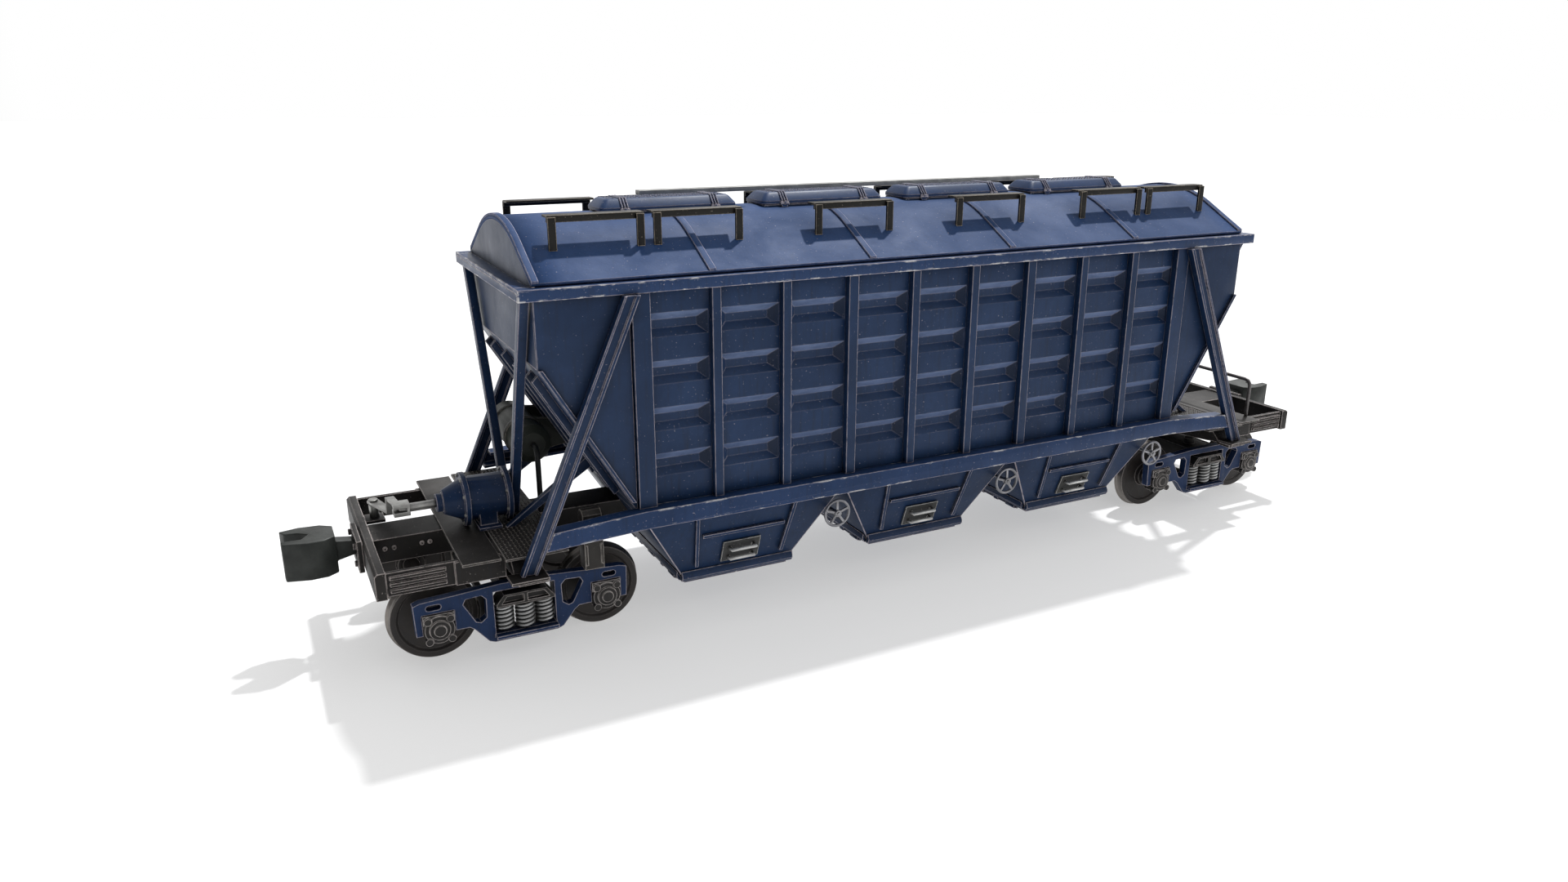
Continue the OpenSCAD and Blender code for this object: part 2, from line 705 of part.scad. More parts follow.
module brake_cylinder() {
    color(navy) difference() {
        union() {
            rod_x(brake_y, brake_z, -174.6, -160.4, 7.8);
            rod_x(brake_y, brake_z, -175.8, -174, 9.5);
            rod_x(brake_y, brake_z, -161.2, -159.4, 9.5);
            translate([-182.2, brake_y, brake_z]) rotate([0, 90, 0]) cylinder(r1 = 4.2, r2 = 7.4, h = 6.6, $fn = 48);
            rod_x(brake_y, brake_z, -184.4, -182, 3.2);
            block([-172, brake_y - 9.4, deck_z + 0.95], [-164, brake_y + 9.4, deck_z + 2]);
            block([-171, brake_y - 6.6, deck_z + 1.9], [-165, brake_y + 6.6, brake_z]);
        }
        rod_x(brake_y, brake_z, -186, -165, 1.4 + running_gap);
    }
}

module brake_piston() {
    color(steel) {
        rod_x(brake_y, brake_z, -193.4, -168, 1.4);
        difference() {
            block([-198.6, brake_y - 2.6, brake_z - 2.1], [-193.2, brake_y + 2.6, brake_z + 2.1]);
            block([-199, brake_y - 3, brake_z - 0.65], [-194.2, brake_y + 3, brake_z + 0.65]);
        }
    }
}

// Flat lever on a fixed pin; its free end lies in the fork of the piston rod.
module brake_lever() {
    color(steel) {
        // Low arm round the pin, crank, and high arm that ends in the fork.
        difference() {
            translate([0, 0, lever_z - 0.5]) linear_extrude(1) polygon([
                [-196.5, 1.5], [lever_x + 2, lever_y + 1], [lever_x, lever_y + 2.4],
                [lever_x - 2, lever_y + 1], [-199.5, 1.5]
            ]);
            translate([lever_x, lever_y, 40]) cylinder(r = 1 + running_gap, h = 20, $fn = 40);
        }
        block([-199.5, 1.5, lever_z - 0.5], [-196.5, 3, brake_z + 0.5]);
        translate([0, 0, brake_z - 0.5]) linear_extrude(1) polygon([
            [-196.6, brake_y - 1.6], [-194.8, brake_y - 1.6], [-196.5, 3], [-199.5, 3]
        ]);
    }
}

// Air reservoir lying across the wagon, with two straps and two brackets.
module air_tank() {
    r = 7.2;
    color("#4b4e48") mirror([1, 0, 0]) {
        rod_y(tank_x, tank_z, 2.2, 38.4, r);
        translate([tank_x, 38.4, tank_z]) rotate([-90, 0, 0]) cylinder(r1 = r, r2 = 4.4, h = 2.2, $fn = 48);
        translate([tank_x, 2.2, tank_z]) rotate([90, 0, 0]) cylinder(r1 = r, r2 = 4.4, h = 2.2, $fn = 48);
        for (y = [12, 30]) difference() {
            union() {
                rod_y(tank_x, tank_z, y, y + 2, r + 0.5);
                plate_xz(y, y + 2, [
                    [slope_x(59) + gap, 59], [tank_x, tank_z - r], [tank_x, tank_z + r], [slope_x(69) + gap, 69]
                ]);
            }
            rod_y(tank_x, tank_z, y - 1, y + 3, r + 0.01);
        }
    }
}

// Pipe that leaves sideways, turns through a quarter bend and runs straight down.
// It is drawn along -X from the origin of the bend's start, and falls to z = low.
module down_pipe(lead, bend, drop, r) {
    translate([-lead, 0, 0]) rotate([0, 90, 0]) cylinder(r = r, h = lead, $fn = 32);
    translate([-lead, 0, -bend]) rotate([90, 0, 0]) rotate([0, 0, 90])
        rotate_extrude(angle = 90, $fn = 48) translate([bend, 0]) circle(r = r, $fn = 32);
    translate([-lead - bend, 0, -drop]) cylinder(r = r, h = drop - bend, $fn = 32);
}

module brake_pipes() {
    pipe_z = brake_z + 2;
    color("#3a3a3a") {
        // From the back of the cylinder down to the centre sill.
        translate([-159.35, -2.2, pipe_z]) mirror([1, 0, 0]) down_pipe(0.6, 2.6, pipe_z - deck_z - 0.95, 0.8);
        // From the near end of the reservoir down to the centre sill.
        translate([-tank_x, -0.05, tank_z]) rotate([0, 0, 90]) down_pipe(2, 3, tank_z - deck_z + 0.05, 1);
    }
}

module air_distributor() {
    x = -138.4;
    color(charcoal) {
        block([x - 3.4, -41.5, 29.2], [x + 3.4, -35.5, 39.6]);
        plate_yz(x - 3.4, x + 3.4, [[-41, 39.7], [-41, 49], [-39.6, 50.6], [-37.2, 50.6], [-35.8, 49], [-35.8, 39.7]]);
        for (z = [31, 40.6]) for (s = [-1, 1])
            block([x + s * 2.8 - 0.5, -41.95, z], [x + s * 2.8 + 0.5, -41.55, z + 7.4]);
    }
}

module handrail() {
    x = 182.3;
    r = 0.8;
    z0 = deck_z + 0.95;
    bend = 3;
    top = 58.2;
    color(steel) {
        both_sides() translate([x, 37.5, z0]) cylinder(r = r, h = top - bend - z0, $fn = 32);
        rod_y(x, top, -37.5 + bend, 37.5 - bend, r);
        both_sides() translate([x, 37.5 - bend, top - bend]) rotate([90, 0, 90])
            rotate_extrude(angle = 90, $fn = 48) translate([bend, 0]) circle(r = r, $fn = 24);
    }
}

// ---------------------------------------------------------------- bogies

// Cast side frame, drawn about the bogie centre.
module side_frame_outline() {
    difference() {
        polygon([
            [-36.6, 18.4], [-36.8, 25.2], [-34.4, 26], [-23.2, 26.6], [-8, 27.7], [8, 27.7],
            [23.2, 26.6], [34.4, 26], [36.8, 25.2], [36.6, 18.4], [36.4, 14], [19, 13.8],
            [17.4, 12.6], [13, 7.2], [11, 6.4], [-11, 6.4], [-13, 7.2], [-17.4, 12.6],
            [-19, 13.8], [-36.4, 14]
        ]);
        translate([-10.5, 9.4]) square([21, 15.6]);
        for (s = [-1, 1]) {
            polygon([for (p = [
                [20.6, 22.6], [19.7, 24.3], [14.5, 24.6], [13, 23], [13.2, 16.3], [15.2, 14.8], [16.8, 15.4]
            ]) [s * p[0], p[1]]]);
            translate([s * axle_x - 5.3, 0]) square([10.6, 21.4]);
            for (d = [-1.5, 1.5]) translate([s * (axle_x + 1.3) + d, 23.6]) circle(r = 0.95, $fn = 32);
            translate([s * (axle_x + 1.3) - 1.5, 22.65]) square([3, 1.9]);
        }
    }
}

module side_frames(x) {
    color(navy) translate([x, 0, 0]) both_sides() {
        translate([0, 35.3, 0]) rotate([90, 0, 0]) linear_extrude(3.4) side_frame_outline();
        for (s = [[29, 31.85], [35.35, 38]]) block([-10.8, s[0], 8.2], [10.8, s[1], 9.4]);
    }
}

// Bearing box with its saddle in the frame's jaw, a round cap and four bolt lugs.
module axle_boxes(x) {
    color("#3a3836") translate([x, 0, 0]) both_sides() for (s = [-1, 1]) translate([s * axle_x, 0, 0]) difference() {
        union() {
            block([-5.15, 30.6, axle_z + 2.2], [5.15, 36, axle_z + 5.5]);
            block([-4.3, 30.6, axle_z - 4.6], [4.3, 35.6, axle_z + 3]);
            rod_y(0, axle_z, 35.5, 36.3, 4.9);
            rod_y(0, axle_z, 36.2, 37.1, 3.4);
            rod_y(0, axle_z, 37, 37.6, 2);
            for (a = [45 : 90 : 315]) rod_y(5.2 * cos(a), axle_z + 5.2 * sin(a), 34.8, 36.9, 1.3);
        }
        rod_y(0, axle_z, 29, 35.4, journal_r + running_gap);
    }
}

module wheel() {
    rotate_extrude($fn = 96) polygon([
        [2.9, 22.6], [5, 22.2], [5.4, 23.6], [11.6, 24.2], [12.4, 22.6], [flange_r - 0.4, 22.4],
        [flange_r, 22.8], [flange_r - 0.3, 23.3], [tread_r, 23.7], [tread_r - 0.15, 26.4],
        [12.6, 26.4], [11.8, 25.4], [5.4, 25.2], [5, 27.2], [2.9, 27.2]
    ]);
}

module wheelset(x) {
    color("#3a3634") translate([x, 0, axle_z]) rotate([-90, 0, 0]) {
        wheel();
        mirror([0, 0, 1]) wheel();
        translate([0, 0, -27.3]) cylinder(r = 2.88, h = 54.6, $fn = 48);
        translate([0, 0, -35.2]) cylinder(r = journal_r, h = 70.4, $fn = 48);
    }
}

module bolster(x) {
    color("#3c4048") translate([x, 0, 0]) difference() {
        union() {
            block([-7, -30, 19.9], [7, 30, 26.6]);
            both_sides() difference() {
                plate_xz(30, 37.4, [[-10, 19.9], [10, 19.9], [10, 20.9], [7.4, 24.1], [-7.4, 24.1], [-10, 20.9]]);
                for (s = [-1, 1]) plate_xz(35.8, 38, [[s * 0.7, 20.8], [s * 0.7, 23.3], [s * 6.4, 23.3], [s * 8.2, 20.8]]);
            }
            translate([0, 0, 26]) cylinder(r = 7.2, h = 3.2, $fn = 64);
            both_sides() translate([0, 24, 26]) cylinder(r = 2.4, h = 3.2, $fn = 48);
        }
        translate([0, 0, 10]) cylinder(r = 3 + running_gap, h = 30, $fn = 64);
    }
}

// Spring nest: sleeves with the waved outline of the coils.
module spring() {
    turns = 6;
    low = 9.5;
    pitch = (19.8 - low) / turns;
    rotate_extrude($fn = 40) polygon(concat(
        [[1.4, low], [2.8, low]],
        [for (i = [0 : turns - 1]) each [[3.4, low + (i + 0.5) * pitch], [2.8, low + (i + 1) * pitch]]],
        [[1.4, low + turns * pitch]]
    ));
}

module springs(x) {
    color(steel) translate([x, 0, 0]) both_sides()
        for (p = [[-6.9, 33], [0, 34], [6.9, 33]]) translate([p[0], p[1], 0]) spring();
}

// Brake beams with a shoe against each wheel.
module brake_beams(x) {
    color(charcoal) translate([x, 0, 0]) for (s = [-1, 1]) {
        block([s * 10.6 - 1.1, -31.8, 14], [s * 10.6 + 1.1, 31.8, 16.4]);
        both_sides() difference() {
            block([s > 0 ? 11.75 : -15.2, 23.8, 10.6], [s > 0 ? 15.2 : -11.75, 26.2, 20.8]);
            rod_y(s * axle_x, axle_z, 20, 30, tread_r + 0.35);
        }
    }
}

module bolster_left() { bolster(-pivot_x); }
module side_frames_left() { side_frames(-pivot_x); }
module springs_left() { springs(-pivot_x); }
module axle_boxes_left() { axle_boxes(-pivot_x); }
module wheelset_left_outer() { wheelset(-pivot_x - axle_x); }
module wheelset_left_inner() { wheelset(-pivot_x + axle_x); }
module brake_beams_left() { brake_beams(-pivot_x); }
module bolster_right() { bolster(pivot_x); }
module side_frames_right() { side_frames(pivot_x); }
module springs_right() { springs(pivot_x); }
module axle_boxes_right() { axle_boxes(pivot_x); }
module wheelset_right_outer() { wheelset(pivot_x + axle_x); }
module wheelset_right_inner() { wheelset(pivot_x - axle_x); }
module brake_beams_right() { brake_beams(pivot_x); }

centre_sill();
end_frames();
deck_plates();
body_bolsters();
pivot_pins();
coupler_left();
coupler_right();
side_sills();
side_sheets();
end_side_sheets();
end_sheets();
side_posts();
eave_rails();
roof_sheet();
roof_bands();
hatch_coamings();
hatch_cover_1();
hatch_cover_2();
hatch_cover_3();
hatch_cover_4();
roof_benches();
bench_legs();
roof_board();
corner_braces();
end_struts();
stiffeners();
brake_cylinder();
brake_piston();
brake_lever();
air_tank();
brake_pipes();
air_distributor();
handrail();
hoppers();
hopper_rims();
step_plates();
handwheel_brackets();
handwheel_1();
handwheel_2();
handwheel_3();
door_1_left();
door_1_right();
door_2_left();
door_2_right();
door_3_left();
door_3_right();
bolster_left();
side_frames_left();
springs_left();
axle_boxes_left();
wheelset_left_outer();
wheelset_left_inner();
brake_beams_left();
bolster_right();
side_frames_right();
springs_right();
axle_boxes_right();
wheelset_right_outer();
wheelset_right_inner();
brake_beams_right();
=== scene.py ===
"""Looks of a 1:32 model grain hopper wagon: materials, detail pieces, camera, floor and light."""

import json
import math

import bmesh
import bpy
from mathutils import Matrix, Vector


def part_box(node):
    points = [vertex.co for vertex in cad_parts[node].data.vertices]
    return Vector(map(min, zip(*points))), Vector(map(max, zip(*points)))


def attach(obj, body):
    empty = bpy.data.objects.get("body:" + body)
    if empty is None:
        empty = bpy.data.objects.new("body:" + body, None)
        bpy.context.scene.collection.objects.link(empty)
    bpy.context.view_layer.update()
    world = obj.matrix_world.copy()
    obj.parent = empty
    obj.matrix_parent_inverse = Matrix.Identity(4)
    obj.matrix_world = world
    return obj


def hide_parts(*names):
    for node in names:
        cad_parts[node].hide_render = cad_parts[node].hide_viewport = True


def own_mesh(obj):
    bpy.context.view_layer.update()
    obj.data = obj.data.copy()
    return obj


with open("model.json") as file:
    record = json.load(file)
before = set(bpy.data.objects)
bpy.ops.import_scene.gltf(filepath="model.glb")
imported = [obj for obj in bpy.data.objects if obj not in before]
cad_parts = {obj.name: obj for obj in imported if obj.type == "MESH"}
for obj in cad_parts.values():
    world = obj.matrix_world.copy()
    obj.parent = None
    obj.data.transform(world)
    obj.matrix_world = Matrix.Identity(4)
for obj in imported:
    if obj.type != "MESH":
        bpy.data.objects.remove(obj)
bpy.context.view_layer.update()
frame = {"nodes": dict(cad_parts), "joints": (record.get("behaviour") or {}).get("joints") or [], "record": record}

MM = 0.001
LEFT, RIGHT = -1, 1
ENDS = (("left", LEFT), ("right", RIGHT))


# ------------------------------------------------------------------ places read from the frame

def low(node):
    """Lowest corner of a node's box, in millimetres."""
    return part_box(node)[0] / MM


def high(node):
    """Highest corner of a node's box, in millimetres."""
    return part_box(node)[1] / MM


JOINTS = {j["name"]: j for j in frame["joints"]}


def joint_at(name):
    """Where a hinge is, in millimetres."""
    return Vector(JOINTS[name]["pos_m"]) / MM


# ------------------------------------------------------------------ mesh building

class Builder:
    """Collects vertices and faces, in millimetres, and makes one piece of them."""

    def __init__(self):
        self.verts = []
        self.faces = []
        self.smooth = []

    def add(self, verts, faces, smooth=False):
        start = len(self.verts)
        self.verts += [Vector(v) for v in verts]
        self.faces += [[start + i for i in f] for f in faces]
        self.smooth += [smooth] * len(faces)

    def box(self, a, b):
        """A box between two opposite corners."""
        corners = [Vector((x, y, z)) for x in (a[0], b[0]) for y in (a[1], b[1]) for z in (a[2], b[2])]
        faces = [[0, 1, 3, 2], [4, 6, 7, 5], [0, 4, 5, 1], [2, 3, 7, 6], [0, 2, 6, 4], [1, 5, 7, 3]]
        self.add(corners, faces)

    def tube(self, path, radius, sides=8):
        """A round tube along a list of points, with its frame carried along without twist."""
        path = [Vector(p) for p in path]
        last = len(path) - 1
        ahead = [(path[min(i + 1, last)] - path[max(i - 1, 0)]).normalized() for i in range(last + 1)]
        side = ahead[0].orthogonal().normalized()
        verts = []
        for p, d in zip(path, ahead):
            side = (side - d * side.dot(d)).normalized()
            up = d.cross(side)
            verts += [p + radius * (math.cos(t) * side + math.sin(t) * up)
                      for t in (2 * math.pi * k / sides for k in range(sides))]
        self.shell(verts, last + 1, sides, True)

    def shell(self, verts, rings, sides, smooth):
        """Joins rings of points into a skin, with a flat cap on each end."""
        start = len(self.verts)
        faces = [[i * sides + k, i * sides + (k + 1) % sides,
                  (i + 1) * sides + (k + 1) % sides, (i + 1) * sides + k]
                 for i in range(rings - 1) for k in range(sides)]
        self.add(verts, faces, smooth)
        self.faces += [[start + k for k in range(sides)][::-1],
                       [start + (rings - 1) * sides + k for k in range(sides)]]
        self.smooth += [False, False]

    def lathe(self, profile, centre, axis, sides=32, smooth=True):
        """A turned body: profile of (radius, height) points about an axis through centre."""
        centre, axis = Vector(centre), Vector(axis).normalized()
        side = axis.orthogonal().normalized()
        up = axis.cross(side)
        verts = []
        for r, h in profile:
            verts += [centre + axis * h + r * (math.cos(t) * side + math.sin(t) * up)
                      for t in (2 * math.pi * k / sides for k in range(sides))]
        self.shell(verts, len(profile), sides, smooth)

    def bolt(self, at, axis, r=0.8, h=0.6):
        """A hexagonal head on a washer."""
        self.lathe([(r * 1.35, 0), (r * 1.35, h * 0.25)], at, axis, 16)
        start = Vector(at) + Vector(axis).normalized() * h * 0.25
        self.lathe([(r, 0), (r, h * 0.6), (r * 0.8, h * 0.75)], start, axis, 6, False)

    def piece(self, name, body, material, slot, bevel=0.0, replaces=()):
        """Makes the object, with rounded edges, and lets it ride on its body."""
        mesh = bpy.data.meshes.new(name)
        mesh.from_pydata([v * MM for v in self.verts], [], self.faces)
        for polygon, smooth in zip(mesh.polygons, self.smooth):
            polygon.use_smooth = smooth
        tidy = bmesh.new()
        tidy.from_mesh(mesh)
        bmesh.ops.recalc_face_normals(tidy, faces=tidy.faces)
        tidy.to_mesh(mesh)
        tidy.free()
        obj = bpy.data.objects.new(name, mesh)
        bpy.context.scene.collection.objects.link(obj)
        obj.data.materials.append(material)
        if bevel:
            round_edges(obj, bevel)
        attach(obj, body)
        if replaces:
            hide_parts(*replaces)
        return obj


EDGE_ANGLE = math.radians(35)
FLAT_ANGLE = math.radians(0.6)
WELD_GAP = 0.002 * MM


def round_edges(obj, width_mm):
    """A bevel on every edge sharper than EDGE_ANGLE, with shading that stays flat beside it."""
    for polygon in obj.data.polygons:
        polygon.use_smooth = True
    bevel = obj.modifiers.new("round_edges", "BEVEL")
    bevel.width = width_mm * MM
    bevel.segments = 2
    bevel.limit_method = "ANGLE"
    bevel.angle_limit = EDGE_ANGLE
    bevel.harden_normals = True
    bevel.use_clamp_overlap = True


def dress_cad_node(node, material, width_mm):
    """A CAD node keeps its shape and gets a material and rounded edges."""
    obj = frame["nodes"][node]
    obj.data.materials.clear()
    obj.data.materials.append(material)
    weld = obj.modifiers.new("weld", "WELD")
    weld.merge_threshold = WELD_GAP
    flat = obj.modifiers.new("flat_faces", "DECIMATE")
    flat.decimate_type = "DISSOLVE"
    flat.angle_limit = FLAT_ANGLE
    if width_mm:
        round_edges(obj, width_mm)


# ------------------------------------------------------------------ materials

def srgb(code):
    """Linear colour of a hexadecimal sRGB code."""
    channels = [int(code[i:i + 2], 16) / 255 for i in (1, 3, 5)]
    return [c / 12.92 if c <= 0.04045 else ((c + 0.055) / 1.055) ** 2.4 for c in channels] + [1]


class Shader:
    """Short calls for building one node material."""

    def __init__(self, name):
        self.material = bpy.data.materials.new(name)
        self.material.use_nodes = True
        self.tree = self.material.node_tree
        self.bsdf = self.tree.nodes["Principled BSDF"]
        self.coords = self.node("ShaderNodeTexCoord").outputs["Object"]

    def node(self, kind, **settings):
        made = self.tree.nodes.new(kind)
        for key, value in settings.items():
            setattr(made, key, value)
        return made

    def link(self, source, target):
        self.tree.links.new(source, target)

    def put(self, socket, value):
        if isinstance(value, bpy.types.NodeSocket):
            self.link(value, socket)
        else:
            socket.default_value = value

    def stretched(self, scale):
        mapping = self.node("ShaderNodeMapping")
        mapping.inputs["Scale"].default_value = scale
        self.link(self.coords, mapping.inputs["Vector"])
        return mapping.outputs["Vector"]

    def noise(self, scale, detail=4.0, rough=0.55, vector=None, distortion=0.0):
        made = self.node("ShaderNodeTexNoise")
        made.inputs["Scale"].default_value = scale
        made.inputs["Detail"].default_value = detail
        made.inputs["Roughness"].default_value = rough
        made.inputs["Distortion"].default_value = distortion
        self.link(vector or self.coords, made.inputs["Vector"])
        return made.outputs["Fac"]

    def ramp(self, value, a, b, to_a=0.0, to_b=1.0):
        made = self.node("ShaderNodeMapRange")
        self.put(made.inputs["Value"], value)
        for socket, number in zip(("From Min", "From Max", "To Min", "To Max"), (a, b, to_a, to_b)):
            made.inputs[socket].default_value = number
        return made.outputs["Result"]

    def math(self, operation, a, b=0.0):
        made = self.node("ShaderNodeMath", operation=operation)
        self.put(made.inputs[0], a)
        self.put(made.inputs[1], b)
        return made.outputs[0]

    def mix(self, factor, a, b, blend="MIX"):
        made = self.node("ShaderNodeMix", data_type="RGBA", blend_type=blend)
        self.put(made.inputs["Factor"], factor)
        self.put(made.inputs["A"], a)
        self.put(made.inputs["B"], b)
        return made.outputs["Result"]

    def edges(self, radius_mm):
        """How much the surface turns within the radius, and the rounded normal."""
        bevel = self.node("ShaderNodeBevel", samples=6)
        bevel.inputs["Radius"].default_value = radius_mm * MM
        geometry = self.node("ShaderNodeNewGeometry")
        dot = self.node("ShaderNodeVectorMath", operation="DOT_PRODUCT")
        self.link(bevel.outputs["Normal"], dot.inputs[0])
        self.link(geometry.outputs["Normal"], dot.inputs[1])
        turned = self.math("SUBTRACT", 1.0, dot.outputs["Value"])
        return self.ramp(turned, 0.008, 0.06), bevel.outputs["Normal"]

    def hollows(self, distance_mm):
        """1 in corners and under other pieces, 0 in the open; the mask for the shade painted into colours."""
        shade = self.node("ShaderNodeAmbientOcclusion", samples=4)
        shade.inputs["Distance"].default_value = distance_mm * MM
        return self.ramp(shade.outputs["AO"], 0.25, 0.9, 1.0, 0.0)

    def bump(self, height, strength, distance_mm, normal=None):
        made = self.node("ShaderNodeBump")
        made.inputs["Strength"].default_value = strength
        made.inputs["Distance"].default_value = distance_mm * MM
        self.link(height, made.inputs["Height"])
        if normal is not None:
            self.link(normal, made.inputs["Normal"])
        return made.outputs["Normal"]


# The first colour is painted into corners and under other pieces: painted shade that also stands for grime.
GRIME_AND_SHADE, RUNOFF, CHIP = "#101116", "#1c2027", "#dedbd8"
# Painted light for faces of the pressed grooves that look down, and painted shade for faces that look along -X.
LIT_SLOPE, SHADED_SLOPE = "#69799b", "#0c1424"


def paint(name, base, shade, wear="#d3c9cf", wear_mm=0.5, wear_share=0.92, chips=0.0,
          rough=0.42, peel=0.35, dents=0.0, shade_and_grime=0.55, streaks=0.35, pressed=False):
    """Worn paint on steel: patchy colour, painted shade and grime in corners, thin worn lines along the edges.

    pressed also tints by the direction a face points, lighter where it looks down and darker where it
    looks along -X. That is the light and shade the photograph shows on the pressed grooves, kept as colour.
    """
    s = Shader(name)
    patches = s.noise(38, 5, 0.6, distortion=0.4)
    fine = s.noise(420, 4, 0.6)
    speck = s.noise(1500, 3, 0.5)
    colour = s.mix(s.ramp(patches, 0.3, 0.72), srgb(base), srgb(shade))
    colour = s.mix(s.ramp(fine, 0.42, 0.72, 0, 0.25), colour, srgb(shade))
    run = s.noise(90, 5, 0.6, s.stretched((9, 9, 0.7)))
    colour = s.mix(s.ramp(run, 0.52, 0.75, 0, streaks), colour, srgb(RUNOFF))
    if pressed:
        # Painted light on faces that look down, in patches, and painted shade on faces that look along -X.
        slope = s.node("ShaderNodeSeparateXYZ")
        s.link(s.node("ShaderNodeNewGeometry").outputs["Normal"], slope.inputs[0])
        patchy_light = s.ramp(s.noise(240, 5, 0.7, s.stretched((0.4, 1, 1))), 0.3, 0.6, 0.45, 0.85)
        under = s.math("MULTIPLY", s.ramp(slope.outputs["Z"], -0.2, -0.5), patchy_light)
        colour = s.mix(under, colour, srgb(LIT_SLOPE))
        colour = s.mix(s.ramp(slope.outputs["X"], -0.3, -0.6, 0, 0.7), colour, srgb(SHADED_SLOPE))
    # Painted shade, also standing for grime: darker in corners and under other pieces.
    colour = s.mix(s.math("MULTIPLY", s.hollows(5), shade_and_grime), colour, srgb(GRIME_AND_SHADE))
    colour = s.mix(s.ramp(speck, 0.69, 0.74, 0, 0.35), colour, srgb(wear))
    turned, normal = s.edges(wear_mm)
    broken = s.ramp(s.noise(260, 6, 0.7), 0.3, 0.5, 1 - wear_share, 1)
    worn = s.math("MULTIPLY", turned, broken)
    colour = s.mix(s.math("MULTIPLY", worn, 0.95), colour, srgb(wear))
    if chips:
        wide, _ = s.edges(wear_mm * 2.4)
        flakes = s.ramp(s.noise(330, 5, 0.75, s.stretched((0.35, 1, 1))), 0.54, 0.57)
        chip = s.math("MULTIPLY", s.ramp(wide, 0.25, 0.5), flakes)
        colour = s.mix(s.math("MULTIPLY", chip, chips), colour, srgb(CHIP))
    s.link(colour, s.bsdf.inputs["Base Color"])
    s.link(s.math("ADD", s.ramp(patches, 0.3, 0.7, rough - 0.08, rough + 0.1),
                  s.math("MULTIPLY", worn, 0.12)), s.bsdf.inputs["Roughness"])
    s.bsdf.inputs["Specular IOR Level"].default_value = 0.2
    height = s.math("ADD", s.math("MULTIPLY", s.noise(1100, 2, 0.5), 0.6), s.math("MULTIPLY", fine, 0.6))
    rounded = s.bump(height, peel, 0.06, normal)
    if dents:
        rounded = s.bump(s.noise(75, 3, 0.5, distortion=1.2), dents, 0.7, rounded)
    s.link(rounded, s.bsdf.inputs["Normal"])
    return s.material


def bare_metal(name, base, shade, rough=0.36, metallic=0.9, wear="#c9c7c4", scratch=0.5, wear_mm=0.35):
    """Bare or thinly coated steel: brushed, stained, brighter along its edges, with painted shade in its hollows.
    """
    s = Shader(name)
    patches = s.noise(160, 5, 0.65)
    scratches = s.noise(900, 3, 0.6, s.stretched((1, 0.2, 1)))
    colour = s.mix(s.ramp(patches, 0.35, 0.68), srgb(base), srgb(shade))
    # Painted shade, also standing for grime: darker in corners and under other pieces.
    colour = s.mix(s.math("MULTIPLY", s.hollows(3), 0.6), colour, srgb("#1c1a18"))
    turned, normal = s.edges(wear_mm)
    colour = s.mix(s.math("MULTIPLY", turned, 0.6), colour, srgb(wear))
    s.link(colour, s.bsdf.inputs["Base Color"])
    s.bsdf.inputs["Metallic"].default_value = metallic
    s.link(s.ramp(patches, 0.3, 0.7, rough - 0.08, rough + 0.16), s.bsdf.inputs["Roughness"])
    s.link(s.bump(scratches, scratch, 0.03, normal), s.bsdf.inputs["Normal"])
    return s.material


def casting(name, base, shade, rough=0.55, grain=0.6, wear="#9a9696", metallic=0.25):
    """Rough cast iron with rubbed edges, and hollows darkened by painted shade that also stands for grease."""
    s = Shader(name)
    patches = s.noise(120, 5, 0.65)
    colour = s.mix(s.ramp(patches, 0.32, 0.7), srgb(base), srgb(shade))
    # Painted shade, also standing for grease: darker in corners and under other pieces.
    colour = s.mix(s.math("MULTIPLY", s.hollows(4), 0.7), colour, srgb("#0e0d0c"))
    turned, normal = s.edges(0.45)
    broken = s.ramp(s.noise(300, 6, 0.7), 0.35, 0.6, 0.35, 1)
    worn = s.math("MULTIPLY", turned, broken)
    colour = s.mix(s.math("MULTIPLY", worn, 0.9), colour, srgb(wear))
    s.link(colour, s.bsdf.inputs["Base Color"])
    s.bsdf.inputs["Metallic"].default_value = metallic
    s.link(s.ramp(patches, 0.3, 0.7, rough - 0.1, rough + 0.12), s.bsdf.inputs["Roughness"])
    lumps = s.math("ADD", s.noise(700, 4, 0.6), s.math("MULTIPLY", s.noise(2200, 2, 0.5), 0.5))
    s.link(s.bump(lumps, grain, 0.09, normal), s.bsdf.inputs["Normal"])
    return s.material


# Radii between which a wheel goes from dark disc to rubbed tread
DISC_END, TREAD_START = 14.55 * MM, 14.8 * MM


